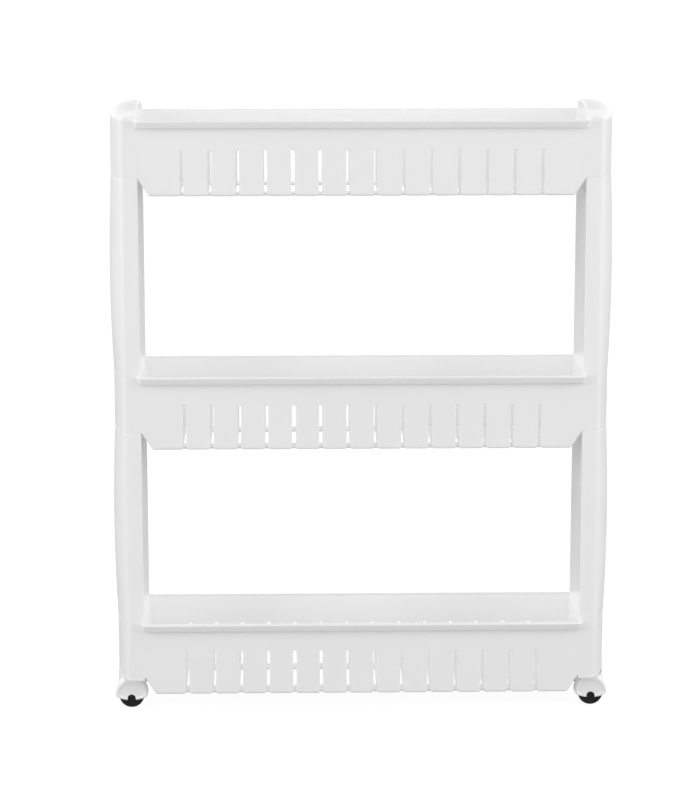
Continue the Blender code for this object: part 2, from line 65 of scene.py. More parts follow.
AXLE = {joint["name"]: joint["pos_m"] for joint in frame["joints"]}
AXLE_Z = AXLE["wheel_front_right_spin"][2]

TRAY_HEIGHT = TRAY_HIGH.z - TRAY_LOW.z
HALF_DEPTH = UPRIGHT_HIGH.y             # middle of the cart to a tray's long wall
LIP_REACH = TRAY_HIGH.y - HALF_DEPTH
INNER_X = UPRIGHT_LOW.x                 # inner face of the uprights
END_X = TRAY_HIGH.x                     # outermost point of a tray
BARREL = UPRIGHT_HIGH.x - END_X         # extra swelling of an upright at half its height

# ---- the other driving dimensions, in metres ----
GAP = 0.0003                            # between neighbouring pieces of the CAD model
SEAM = 0.00005                          # what shows of the gap between plugged pieces
PAST = 0.002                            # how far a cutter runs past the face it cuts
WELD = 0.00004                          # points closer than this become one
WALL = 0.002
SOCKET_HEIGHT = 0.065
END_SAGITTA = 0.014                     # how far an end's outer side bows out
CORNER_FILLET = 0.008
MIN_FILLET = 0.0015
EDGE = 0.00045                          # rounding of a moulded edge
UPRIGHT_EDGE = 0.0010
SLOT_EDGE = 0.0010
PLUG_LENGTH = 0.018

LIP_HEIGHT = 0.0075
LIP_HALF_LENGTH = 0.258
LIP_END_TAPER = 0.004
LIP_LEAN = 0.0025                       # how much less the lip's lower edge stands out
BASKET_HALF_FLOOR = 0.240
BASKET_ROUND = 0.0022
INSIDE_ROUND = 0.0018
SLOT_COUNT = 14
SLOT_PITCH = 0.0313
SLOT_WIDTH = 0.0042
SLOT_TOP_DROP = 0.033                   # rim to the top of a slot
SLOT_CORNER = 0.0012
SLOT_FLARE = 0.0012                     # how much wider a slot is at the tray's bottom edge
SLOT_FLARE_HEIGHT = 0.0030
SLOT_FLOOR_BITE = 0.006                 # how far a wall's slot turns in under the floor
FLOOR_SLOT_LENGTH = 0.063

CAP_END_RISE = 0.011                    # rim to the top of a cap at its front and back
CAP_SHOULDER = 0.025                    # width of the rounded outer shoulder
CAP_INNER_ROUND = 0.003
CAP_END_ROUND = 0.0070
CAP_SIDE_FOOT = 0.00075                 # upright strip left under a cap's shoulder
CAP_STATIONS = (0.011, 0.017, 0.025, 0.033, 0.041, 0.049)   # depths in from a cap's end

HOOD_HALF_WIDTH = (HOOD_HIGH.x - HOOD_LOW.x) / 2
HOOD_DEPTH = HOOD_HIGH.y - HOOD_LOW.y
HOOD_BOTTOM = HOOD_LOW.z
HOOD_TOP = HOOD_HIGH.z
HOOD_WIDEST = 0.0168                    # height of the widest level
HOOD_DOME_RISE = 0.0200                 # height of the full ellipse above the widest level
HOOD_COLLAR = 0.0085                    # half width of the collar between dome and foot
HOOD_BAND = 0.0030                      # plain band round the dished side of a hood
HOOD_BAND_TOP = 0.0055
HOOD_DISH = 0.0010
HOOD_EDGE = 0.0018
HOOD_POCKET_WIDTH = 0.0112
HOOD_POCKET_RADIUS = 0.0160
ARCH_HALF_WIDTH = 0.0048                # the round-topped notch over each end of the axle
ARCH_TOP = 0.0166
ARCH_SPRING = 0.0118                    # height at which the arch starts to curve
CASTER_X = (HOOD_LOW.x + HOOD_HIGH.x) / 2
CASTER_Y = -(HOOD_LOW.y + HOOD_HIGH.y) / 2

FOOT_SEAT = RIMS["bottom"] - SOCKET_HEIGHT - SEAM
FOOT_SKIRT_BOTTOM = HOOD_TOP + GAP
FOOT_KEEL_BOTTOM = FOOT_LOW.z
FOOT_KEEL_HALF_DEPTH = 0.0205
FOOT_KEEL_ROUND = 0.0080
FOOT_BULGE = 0.0008                     # how far the keel bows out past the socket

WHEEL_RADIUS = AXLE_Z
WHEEL_HALF_WIDTH = 0.0048
HUB_HALF_WIDTH = 0.0052
HUB_RADIUS = 0.0042
TYRE_ROUND = 0.0014
TYRE_INNER_RADIUS = 0.0112
WEB_DISH = 0.0016
RIB_COUNT = 6
RIB_THICKNESS = 0.0009
RIB_SINK = 0.0006                       # how far a rib stays inside the tyre's side
RIB_ROOT = 0.0003                       # how far a rib runs into the hub and the tyre
CHAMFER = 0.0003                        # on the wheels' hubs and tyres, and on the axles
AXLE_RADIUS = 0.0015
AXLE_HALF_LENGTH = 0.0071
STEM_RADIUS = 0.0030
STEM_CHAMFER = 0.0012
STEM_GROOVES = (0.55, 0.75)             # where the grooves start, as shares of the height
GROOVE_DEPTH = 0.0005
GROOVE_LEVELS = (0.0002, 0.0014, 0.0020)    # where its floor starts and ends, and its end

# ---- numbers of facets, fine enough to look round ----
END_ARC_STEPS = 40
FILLET_STEPS = 8
CORNER_STEPS = 4
BARREL_STEPS = 28
SLOT_TOP_STEPS = 3
SLOT_END_STEPS = 8
CAP_END_STEPS = 6
CAP_INNER_STEPS = 6
CAP_SHOULDER_STEPS = 18
KEEL_ARC_STEPS = 16
KEEL_ROUND_STEPS = 8
HOOD_CHIN_STEPS = 16
HOOD_DOME_STEPS = 20
DISH_CHIN_STEPS = 24
DISH_DOME_STEPS = 36
ARCH_STEPS = 14
POCKET_STEPS = 64
BORE_STEPS = 24
PIN_STEPS = 32
WHEEL_STEPS = 72
TYRE_STEPS = 6

# ---- camera ----
CAMERA_PLACE = (-0.073, -3.0, 1.053)
CAMERA_PITCH = math.radians(11.24)
CAMERA_YAW = math.radians(-1.15)
CAMERA_LENS = 118.9                     # mm
CAMERA_SENSOR = 36.0                    # mm
CAMERA_SHIFT_Y = -0.10

# ---- light ----
WORLD_BELOW = 0.24                      # stands in for light from a floor, on the pieces only
WORLD_HORIZON = 1.05
WORLD_RING = 0.62
WORLD_OVERHEAD = 0.66
# The sine of the elevation, and how bright the world is there.
WORLD_STOPS = ((0.20, WORLD_HORIZON), (0.30, WORLD_RING), (0.55, WORLD_RING),
               (0.70, WORLD_OVERHEAD))
WORLD_FADE = (-0.12, -0.05)             # sines of the elevations where the lower half fades in
LIGHT_TARGET = Vector((0.0, 0.0, 0.35))
FRONT_LIGHT_PLACE = (0.0, -2.4, 1.7)
FRONT_LIGHT_SIZE = (2.4, 1.2)
FRONT_LIGHT_POWER = 6.0                 # W
SIDE_LIGHT_PLACE = (2.2, -0.9, 1.0)
SIDE_LIGHT_SIZE = (1.0, 1.8)
SIDE_LIGHT_POWER = 17.0                 # W
FLOOR_RADIUS = 30.0
FLOOR_STEPS = 96
FLOOR_GLOW = 0.88                       # makes the floor show white, like the background
PLASTIC_PAINTED_GLOW = 0.09                        # painted glow: white plastic emits this much light of its own, standing in for light that comes through the thin white walls

QUARTER = math.pi / 2


# ---- mesh helpers ----
def arc(centre, radius, start, end, steps):
    """Points along an arc, both ends included."""
    points = []
    for step in range(steps + 1):
        angle = start + (end - start) * step / steps
        points.append((centre[0] + radius * math.cos(angle), centre[1] + radius * math.sin(angle)))
    return points


def circle(centre, radius, steps):
    """Points round a full circle."""
    return arc(centre, radius, 0.0, 2 * math.pi, steps)[:-1]


def quarter_round(radius, steps):
    """Distances from the end of a rounding to evenly turned points on it."""
    return [radius * (1 - math.cos(QUARTER * step / steps)) for step in range(steps + 1)]


def finished(name, work):
    """Turn a bmesh into a mesh with its faces outwards."""
    bmesh.ops.recalc_face_normals(work, faces=work.faces)
    mesh = bpy.data.meshes.new(name)
    work.to_mesh(mesh)
    work.free()
    return mesh


def prism(outline, low, high, axis="Z"):
    """A closed outline carried from low to high along Z, or along Y for an (x, z) outline."""
    work = bmesh.new()
    ends = []
    for level in (low, high):
        if axis == "Z":
            ends.append([work.verts.new((u, v, level)) for u, v in outline])
        else:
            ends.append([work.verts.new((u, level, v)) for u, v in outline])
    start, finish = ends
    for index in range(len(outline)):
        after = (index + 1) % len(outline)
        work.faces.new((start[index], start[after], finish[after], finish[index]))
    work.faces.new(start[::-1])
    work.faces.new(finish)
    return finished("prism", work)


def lofted(sections):
    """A closed mesh through rings that have equal numbers of points."""
    work = bmesh.new()
    rings = [[work.verts.new(point) for point in section] for section in sections]
    count = len(sections[0])
    for ring, following in zip(rings, rings[1:]):
        for index in range(count):
            after = (index + 1) % count
            work.faces.new((ring[index], ring[after], following[after], following[index]))
    work.faces.new(rings[0][::-1])
    work.faces.new(rings[-1])
    return finished("loft", work)


def turned(profile, steps, axis="Y"):
    """A closed (radius, along) profile turned about the Y or the Z axis."""
    work = bmesh.new()
    rings = []
    for step in range(steps):
        angle = 2 * math.pi * step / steps
        ring = []
        for radius, along in profile:
            u, v = radius * math.cos(angle), radius * math.sin(angle)
            ring.append(work.verts.new((u, along, v) if axis == "Y" else (u, v, along)))
        rings.append(ring)
    for index, ring in enumerate(rings):
        following = rings[(index + 1) % steps]
        for point in range(len(profile)):
            after = (point + 1) % len(profile)
            work.faces.new((ring[point], ring[after], following[after], following[point]))
    bmesh.ops.remove_doubles(work, verts=work.verts, dist=WELD / 10)
    return finished("turned", work)


def box(low, high):
    size = [b - a for a, b in zip(low, high)]
    middle = [(a + b) / 2 for a, b in zip(low, high)]
    work = bmesh.new()
    place = Matrix.Translation(middle) @ Matrix.Diagonal((*size, 1.0))
    bmesh.ops.create_cube(work, size=1.0, matrix=place)
    return finished("box", work)


def rounded_edges(mesh, width, steps=2, sharper_than=38.0, where=None):
    """Round the edges of a mesh that are sharper than an angle in degrees."""
    work = bmesh.new()
    work.from_mesh(mesh)
    bmesh.ops.remove_doubles(work, verts=work.verts, dist=WELD)
    flat = math.radians(0.5)
    bmesh.ops.dissolve_limit(work, angle_limit=flat, verts=work.verts, edges=work.edges)
    limit = math.radians(sharper_than)
    edges = []
    for edge in work.edges:
        middle = (edge.verts[0].co + edge.verts[1].co) / 2
        if len(edge.link_faces) == 2 and edge.calc_face_angle() > limit:
            if where is None or where(middle):
                edges.append(edge)
    bmesh.ops.bevel(work, geom=edges, offset=width, segments=steps, profile=0.5,
                    affect="EDGES", clamp_overlap=False)
    work.to_mesh(mesh)
    work.free()
    return mesh


def combined(mesh, operation, tools):
    """A mesh with a group of tools joined to it or taken away from it."""
    base = bpy.data.objects.new("base", mesh)
    bpy.context.scene.collection.objects.link(base)
    group = bpy.data.collections.new("tools")
    bpy.context.scene.collection.children.link(group)
    helpers = [bpy.data.objects.new("tool", tool) for tool in tools]
    for helper in helpers:
        group.objects.link(helper)
    modifier = base.modifiers.new("combine", "BOOLEAN")
    modifier.operation = operation
    modifier.solver = "EXACT"
    modifier.operand_type = "COLLECTION"
    modifier.collection = group
    bpy.context.view_layer.update()
    evaluated = base.evaluated_get(bpy.context.evaluated_depsgraph_get())
    made = bpy.data.meshes.new_from_object(evaluated)
    for helper in helpers + [base]:
        bpy.data.objects.remove(helper)
    bpy.data.collections.remove(group)
    return made


def mirrored(outline):
    """The outline of the other end of the cart, turned half a turn about Z."""
    return [(-u, -v) for u, v in outline]


def at_height(outline, z):
    return [(u, v, z) for u, v in outline]


# ---- plan of an end of the cart ----
def end_arcs(inset=0.0, barrel=0.0):
    """The outer arc of an end and the fillet at its front and back corners.

    Gives (centre_x, radius) of the outer arc, about y = 0, and (x, y, radius) of the fillet.
    """
    sagitta = END_SAGITTA + barrel
    radius = (HALF_DEPTH ** 2 + sagitta ** 2) / (2 * sagitta)
    centre_x = END_X + barrel - radius
    fillet = max(CORNER_FILLET - inset, MIN_FILLET)
    fillet_y = HALF_DEPTH - inset - fillet
    fillet_x = centre_x + math.sqrt((radius - inset - fillet) ** 2 - fillet_y ** 2)
    return (centre_x, radius - inset), (fillet_x, fillet_y, fillet)


def end_outline(inset=0.0, barrel=0.0, corner=0.0):
    """Plan of the right end: flat inner side, and an outer side that swells by END_SAGITTA.

    inset shrinks the outline evenly, barrel swells the outer arc further, and corner rounds
    the two inner corners.
    """
    (centre_x, radius), (fillet_x, fillet_y, fillet) = end_arcs(inset, barrel)
    half_depth = HALF_DEPTH - inset
    slope = math.asin(fillet_y / (radius - fillet))
    inner = INNER_X + inset
    points = []
    if corner:
        points += arc((inner + corner, corner - half_depth), corner, -math.pi, -QUARTER,
                      CORNER_STEPS)
    else:
        points.append((inner, -half_depth))
    points += arc((fillet_x, -fillet_y), fillet, -QUARTER, -slope, FILLET_STEPS)
    points += arc((centre_x, 0.0), radius, -slope, slope, END_ARC_STEPS)[1:-1]
    points += arc((fillet_x, fillet_y), fillet, slope, QUARTER, FILLET_STEPS)
    if corner:
        points += arc((inner + corner, half_depth - corner), corner, QUARTER, math.pi,
                      CORNER_STEPS)
    else:
        points.append((inner, half_depth))
    return points


def outer_face_at(y):
    """How far out an end reaches at one depth."""
    (centre_x, radius), (fillet_x, fillet_y, fillet) = end_arcs()
    slope = math.asin(fillet_y / (radius - fillet))
    if abs(y) < radius * math.sin(slope):
        return centre_x + math.sqrt(radius ** 2 - y ** 2)
    return fillet_x + math.sqrt(max(fillet ** 2 - (abs(y) - fillet_y) ** 2, 0.0))


# ---- trays ----
def basket_outline(half_top, half_floor, top, floor, drop):
    """Side view of the basket, with its lower corners cut off on a slant, rim at zero."""
    return [(-half_top, top), (-half_top, -drop), (-half_floor, -floor),
            (half_floor, -floor), (half_top, -drop), (half_top, top)]


def wall_slot_outline(x):
    """A slot in a long wall: rounded at the top, and flared where it meets the floor."""
    half = SLOT_WIDTH / 2
    low = -TRAY_HEIGHT
    top = -SLOT_TOP_DROP - SLOT_CORNER
    left = [(-half - SLOT_FLARE, low - PAST), (-half - SLOT_FLARE, low + PAST / 4),
            (-half - SLOT_FLARE / 3, low + SLOT_FLARE_HEIGHT / 2), (-half, low + SLOT_FLARE_HEIGHT)]
    left += arc((-half + SLOT_CORNER, top), SLOT_CORNER, math.pi, QUARTER, SLOT_TOP_STEPS)
    right = [(-u, v) for u, v in reversed(left)]
    return [(x + u, v) for u, v in left + right]


def floor_slot_outline(x):
    """A slot with round ends along Y, in the middle of the floor."""
    radius = SLOT_WIDTH / 2
    straight = FLOOR_SLOT_LENGTH / 2 - radius
    return (arc((x, straight), radius, 0.0, math.pi, SLOT_END_STEPS)
            + arc((x, -straight), radius, math.pi, 2 * math.pi, SLOT_END_STEPS))


def slot_tools():
    """Cutters of all the slots of a tray."""
    tools = []
    for index in range(SLOT_COUNT):
        x = (index - (SLOT_COUNT - 1) / 2) * SLOT_PITCH
        inner = HALF_DEPTH - SLOT_FLOOR_BITE
        outer = HALF_DEPTH + PAST
        tools.append(prism(wall_slot_outline(x), -outer, -inner, "Y"))
        tools.append(prism(wall_slot_outline(x), inner, outer, "Y"))
        tools.append(prism(floor_slot_outline(x), -TRAY_HEIGHT - PAST, PAST - TRAY_HEIGHT + WALL))
    return tools


def lip_outline(facing, lean):
    """Plan of a long lip at one level, with tapered ends."""
    root = facing * (HALF_DEPTH - WALL / 2)
    reach = facing * (HALF_DEPTH + LIP_REACH - lean)
    half = LIP_HALF_LENGTH - lean
    short = half - LIP_END_TAPER
    return [(-half, root), (-short, reach), (short, reach), (half, root)]


def lip_tool(facing):
    """The solid lip along one long side, which flares outwards up to the rim."""
    return lofted([at_height(lip_outline(facing, LIP_LEAN), -LIP_HEIGHT),
                   at_height(lip_outline(facing, 0.0), 0.0)])


def lip_groove(facing):
    """The hollow under a lip."""
    near = facing * HALF_DEPTH
    sections = []
    for lean, z in ((LIP_LEAN * (1 + PAST / LIP_HEIGHT), -LIP_HEIGHT - PAST), (0.0, -WALL)):
        far = facing * (HALF_DEPTH + LIP_REACH - lean - WALL)
        half = LIP_HALF_LENGTH - LIP_END_TAPER - lean - WALL
        sections.append(at_height([(-half, near), (-half, far), (half, far), (half, near)], z))
    return lofted(sections)


def is_slot_edge(middle):
    """Whether an edge runs round a slot, on the outer face of a long wall."""
    near_slot = (middle.x / SLOT_PITCH + (SLOT_COUNT - 1) / 2 + 0.5) % 1.0 - 0.5
    beside = abs(near_slot) * SLOT_PITCH < SLOT_WIDTH / 2 + GAP / 4
    return (abs(abs(middle.y) - HALF_DEPTH) < WELD and beside
            and -TRAY_HEIGHT + SLOT_FLARE_HEIGHT - GAP < middle.z < -SLOT_TOP_DROP + WELD)


def make_tray_mesh():
    """One tray, its rim at zero: a slotted basket between two sockets, with two lips."""
    half_plan = end_outline()[1:-1]
    body = prism(half_plan + mirrored(half_plan), -SOCKET_HEIGHT, 0.0)
    basket = prism(basket_outline(INNER_X, BASKET_HALF_FLOOR, -SOCKET_HEIGHT / 2, TRAY_HEIGHT,
                                  SOCKET_HEIGHT), -HALF_DEPTH, HALF_DEPTH, "Y")
    rounded_edges(basket, BASKET_ROUND, steps=4, sharper_than=20.0,
                  where=lambda middle: middle.z < -SOCKET_HEIGHT - GAP)
    solid = combined(body, "UNION", [basket, lip_tool(-1), lip_tool(1)])

    depth = HALF_DEPTH - WALL
    inside = prism(basket_outline(INNER_X, BASKET_HALF_FLOOR - WALL / 2, PAST,
                                  TRAY_HEIGHT - WALL, SOCKET_HEIGHT - 2 * WALL),
                   -depth, depth, "Y")
    rounded_edges(inside, INSIDE_ROUND, steps=3, sharper_than=20.0,
                  where=lambda middle: middle.z < PAST / 2)
    socket = end_outline(WALL)
    socket_low = -SOCKET_HEIGHT - PAST
    tools = [inside, prism(socket, socket_low, PAST), prism(mirrored(socket), socket_low, PAST),
             lip_groove(-1), lip_groove(1)]
    tray = combined(solid, "DIFFERENCE", tools + slot_tools())
    rounded_edges(tray, SLOT_EDGE, steps=3, sharper_than=60.0, where=is_slot_edge)
    return rounded_edges(tray, EDGE)


# ---- uprights ----
def make_upright_mesh():
    """The outside of an end panel and its plugs, swollen most at half its height, seat at zero."""
    height = RIMS["middle"] - RIMS["bottom"] - SOCKET_HEIGHT - 2 * SEAM
    plug = end_outline(WALL + GAP, 0.0, UPRIGHT_EDGE)
    sections = [at_height(plug, -PLUG_LENGTH), at_height(plug, 0.0)]
    rounding = [(UPRIGHT_EDGE * (1 - math.sin(angle)), UPRIGHT_EDGE * (1 - math.cos(angle)))
                for angle in (QUARTER * step / CORNER_STEPS for step in range(CORNER_STEPS + 1))]
    sections += [at_height(end_outline(inset, 0.0, UPRIGHT_EDGE), z) for inset, z in rounding]
    for step in range(1, BARREL_STEPS):
        share = step / BARREL_STEPS
        barrel = BARREL * (1 - (2 * share - 1) ** 2)
        sections.append(at_height(end_outline(0.0, barrel, UPRIGHT_EDGE), height * share))
    sections += [at_height(end_outline(inset, 0.0, UPRIGHT_EDGE), height - z)
                 for inset, z in reversed(rounding)]
    sections += [at_height(plug, height), at_height(plug, height + PLUG_LENGTH)]
    return lofted(sections)


# ---- end caps ----
def cap_station(y):
    """Cross-section of a cap at one depth: flat inner side, crown, rounded shoulder."""
    outer = outer_face_at(y)
    from_end = HALF_DEPTH - abs(y)
    crown = CAP_END_RISE + (CAP_TOP - CAP_END_RISE) * (1 - (y / HALF_DEPTH) ** 2)
    if from_end < CAP_END_ROUND:
        drop = CAP_END_ROUND - from_end
        crown -= CAP_END_ROUND - math.sqrt(CAP_END_ROUND ** 2 - drop ** 2)
    points = [(INNER_X, SEAM)]
    points += arc((INNER_X + CAP_INNER_ROUND, crown - CAP_INNER_ROUND), CAP_INNER_ROUND,
                  math.pi, QUARTER, CAP_INNER_STEPS)
    shoulder_height = crown - SEAM - CAP_SIDE_FOOT
    shoulder = min(CAP_SHOULDER, outer - INNER_X - 2 * CAP_INNER_ROUND)
    for step in range(CAP_SHOULDER_STEPS + 1):
        angle = QUARTER * (1 - step / CAP_SHOULDER_STEPS)
        points.append((outer - shoulder * (1 - math.cos(angle)),
                       crown - shoulder_height * (1 - math.sin(angle))))
    points.append((outer, SEAM))
    return [(x, y, z) for x, z in points]


def is_above_seam(middle):
    return middle.z > SEAM + WELD


def make_cap_mesh():
    """The domed cap of a top socket, its rim at zero."""
    ends = quarter_round(CAP_END_ROUND, CAP_END_STEPS)
    depths = [from_end - HALF_DEPTH for from_end in ends + list(CAP_STATIONS)]
    depths += [0.0] + [-depth for depth in reversed(depths)]
    dome = lofted([cap_station(y) for y in depths])
    plug = prism(end_outline(WALL + GAP), -PLUG_LENGTH, PAST)
    return rounded_edges(combined(dome, "UNION", [plug]), EDGE, where=is_above_seam)


# ---- feet ----
def keel_section(z):
    """Plan of a foot's keel at one height: the outer side tucks in near the bottom."""
    from_bottom = z - FOOT_KEEL_BOTTOM
    tuck = 0.0
    if from_bottom < FOOT_KEEL_ROUND:
        drop = FOOT_KEEL_ROUND - from_bottom
        tuck = FOOT_KEEL_ROUND - math.sqrt(FOOT_KEEL_ROUND ** 2 - drop ** 2)
    radius = (HALF_DEPTH ** 2 + END_SAGITTA ** 2) / (2 * END_SAGITTA)
    centre_x = END_X - radius + FOOT_BULGE
    half = FOOT_KEEL_HALF_DEPTH
    spread = math.asin(half / radius)
    points = [(INNER_X + WALL, -half)]
    outer = arc((centre_x, 0.0), radius, -spread, spread, KEEL_ARC_STEPS)
    points += [(x - tuck, y) for x, y in outer]
    points.append((INNER_X + WALL, half))
    return at_height(points, z)


def make_foot_mesh():
    """The foot in a bottom socket: skirt, plug, keel and a bore for each stem."""
    skirt = prism(end_outline(), FOOT_SKIRT_BOTTOM, FOOT_SEAT)
    plug = prism(end_outline(WALL + GAP), FOOT_SEAT - PAST / 2, FOOT_HIGH.z)
    heights = quarter_round(FOOT_KEEL_ROUND, KEEL_ROUND_STEPS)
    levels = [FOOT_KEEL_BOTTOM + height for height in heights] + [FOOT_SEAT - PAST / 2]
    keel = lofted([keel_section(z) for z in levels])
    solid = combined(skirt, "UNION", [plug, keel])
    bores = []
    for y in (-CASTER_Y, CASTER_Y):
        ring = circle((CASTER_X, y), STEM_RADIUS + GAP, BORE_STEPS)
        bores.append(prism(ring, FOOT_SKIRT_BOTTOM - PAST, FOOT_HIGH.z + PAST))
    return rounded_edges(combined(solid, "DIFFERENCE", bores), EDGE)


# ---- casters, each made about its own axle's middle in X and Y ----
def hood_arc(half_width, rise, start, end, steps):
    """Points of an ellipse about the widest level of a hood, between two angles."""
    return [(half_width * math.cos(angle), HOOD_WIDEST + rise * math.sin(angle))
            for angle in (start + (end - start) * step / steps for step in range(steps + 1))]


def hood_outline():
    """Side view of a hood: rounded below, domed above, with a collar on top."""
    end_angle = math.acos(HOOD_COLLAR / HOOD_HALF_WIDTH)
    right = hood_arc(HOOD_HALF_WIDTH, HOOD_WIDEST - HOOD_BOTTOM, -QUARTER, 0.0,
                     HOOD_CHIN_STEPS)
    right += hood_arc(HOOD_HALF_WIDTH, HOOD_DOME_RISE, 0.0, end_angle, HOOD_DOME_STEPS)[1:]
    right.append((HOOD_COLLAR, HOOD_TOP))
    return right + [(-x, z) for x, z in reversed(right[1:])]


def dish_outline():
    """Side view of the shallow dish in each face of a hood."""
    half_width = HOOD_HALF_WIDTH - HOOD_BAND
    below = hood_arc(half_width, HOOD_WIDEST - HOOD_BOTTOM - HOOD_BAND, math.pi, 2 * math.pi,
                     DISH_CHIN_STEPS)
    above = hood_arc(half_width, HOOD_DOME_RISE - HOOD_BAND_TOP, 0.0, math.pi, DISH_DOME_STEPS)
    return below + above[1:-1]


def arch_outline(shrink=0.0, low=HOOD_BOTTOM):
    """A round-topped opening over an end of the axle."""
    half = ARCH_HALF_WIDTH - shrink
    rise = ARCH_TOP - shrink - ARCH_SPRING
    points = [(half, low)]
    for step in range(ARCH_STEPS + 1):
        angle = math.pi * step / ARCH_STEPS
        points.append((half * math.cos(angle), ARCH_SPRING + rise * math.sin(angle)))
    return points + [(-half, low)]


def make_hood_mesh():
    """The caster's housing: a rounded shell with dished sides, open below."""
    half = HOOD_DEPTH / 2
    body = rounded_edges(prism(hood_outline(), -half, half, "Y"), HOOD_EDGE, steps=4)
    tools = []
    for facing in (-1, 1):
        face = facing * half
        near, far = sorted((face - facing * HOOD_DISH, face + facing * PAST))
        tools.append(prism(dish_outline(), near, far, "Y"))
    pocket = HOOD_POCKET_WIDTH / 2
    ring = circle((0.0, AXLE_Z), HOOD_POCKET_RADIUS, POCKET_STEPS)
    tools.append(prism(ring, -pocket, pocket, "Y"))
    mouth = HOOD_POCKET_RADIUS - GAP / 2
    tools.append(box((-mouth, -pocket, HOOD_BOTTOM - PAST), (mouth, pocket, AXLE_Z)))
    tools.append(prism(arch_outline(low=HOOD_BOTTOM - PAST), -half - PAST, half + PAST, "Y"))
    ring = circle((0.0, 0.0), STEM_RADIUS + GAP, BORE_STEPS)
    tools.append(prism(ring, STEM_LOW.z - GAP, HOOD_TOP + PAST))
    return rounded_edges(combined(body, "DIFFERENCE", tools), EDGE / 2)


def make_wheel_mesh():
    """A turned wheel about the origin: crowned tyre, dished web with ribs, hub."""
    bore = AXLE_RADIUS + GAP
    half, web = WHEEL_HALF_WIDTH, WHEEL_HALF_WIDTH - WEB_DISH
    side = [(bore, HUB_HALF_WIDTH), (HUB_RADIUS - CHAMFER, HUB_HALF_WIDTH),
            (HUB_RADIUS, HUB_HALF_WIDTH - CHAMFER), (HUB_RADIUS, web + CHAMFER),
            (HUB_RADIUS + CHAMFER, web), (TYRE_INNER_RADIUS - CHAMFER, web),
            (TYRE_INNER_RADIUS, web + CHAMFER), (TYRE_INNER_RADIUS, half - CHAMFER),
            (TYRE_INNER_RADIUS + CHAMFER, half)]
    side += arc((WHEEL_RADIUS - TYRE_ROUND, half - TYRE_ROUND), TYRE_ROUND, QUARTER, 0.0,
                TYRE_STEPS)
    profile = side + [(radius, -along) for radius, along in reversed(side)]
    wheel = turned(profile, WHEEL_STEPS)
    length = TYRE_INNER_RADIUS - HUB_RADIUS + 2 * RIB_ROOT
    middle = Vector(((HUB_RADIUS + TYRE_INNER_RADIUS) / 2, 0.0, 0.0))
    size = Matrix.Diagonal((length, 2 * (half - RIB_SINK), RIB_THICKNESS, 1.0))
    ribs = []
    for index in range(RIB_COUNT):
        work = bmesh.new()
        turn = Matrix.Rotation(2 * math.pi * index / RIB_COUNT, 4, "Y")
        bmesh.ops.create_cube(work, size=1.0, matrix=turn @ Matrix.Translation(middle) @ size)
        ribs.append(finished("rib", work))
    return combined(wheel, "UNION", ribs)


def make_axle_mesh():
    """A pin with chamfered ends, about the origin along Y."""
    half = AXLE_HALF_LENGTH
    profile = [(0.0, half), (AXLE_RADIUS - CHAMFER, half), (AXLE_RADIUS, half - CHAMFER)]
    profile += [(radius, -along) for radius, along in reversed(profile)]
    return turned(profile, PIN_STEPS)


def make_stem_mesh():
    """A barbed stem along Z: a round pin with two grooves and a chamfered top."""
    low, high = STEM_LOW.z, STEM_HIGH.z
    core = STEM_RADIUS - GROOVE_DEPTH
    profile = [(0.0, low), (core, low), (STEM_RADIUS, low + GROOVE_DEPTH)]
    for share in STEM_GROOVES:
        start = low + (high - low) * share
        floor_low, floor_high, finish = [start + level for level in GROOVE_LEVELS]
        profile += [(STEM_RADIUS, start), (core, floor_low), (core, floor_high),
                    (STEM_RADIUS, finish)]
    profile += [(STEM_RADIUS, high - STEM_CHAMFER), (STEM_RADIUS - STEM_CHAMFER, high),
                (0.0, high)]
    return turned(profile, PIN_STEPS, "Z")


def make_clip_mesh():
    """The black clip that fills the outer end of an arch, facing -Y, and hides the axle's end."""
    outer = -(HOOD_DEPTH / 2 - HOOD_DISH)
    inner = -(HOOD_POCKET_WIDTH / 2 + GAP)
    clip = prism(arch_outline(GAP, HOOD_BOTTOM + GAP), outer, inner, "Y")
    ring = circle((0.0, AXLE_Z), AXLE_RADIUS + GAP / 4, BORE_STEPS)
    seat = prism(ring, -AXLE_HALF_LENGTH - GAP / 2, inner + PAST, "Y")
    return rounded_edges(combined(clip, "DIFFERENCE", [seat]), EDGE / 2)


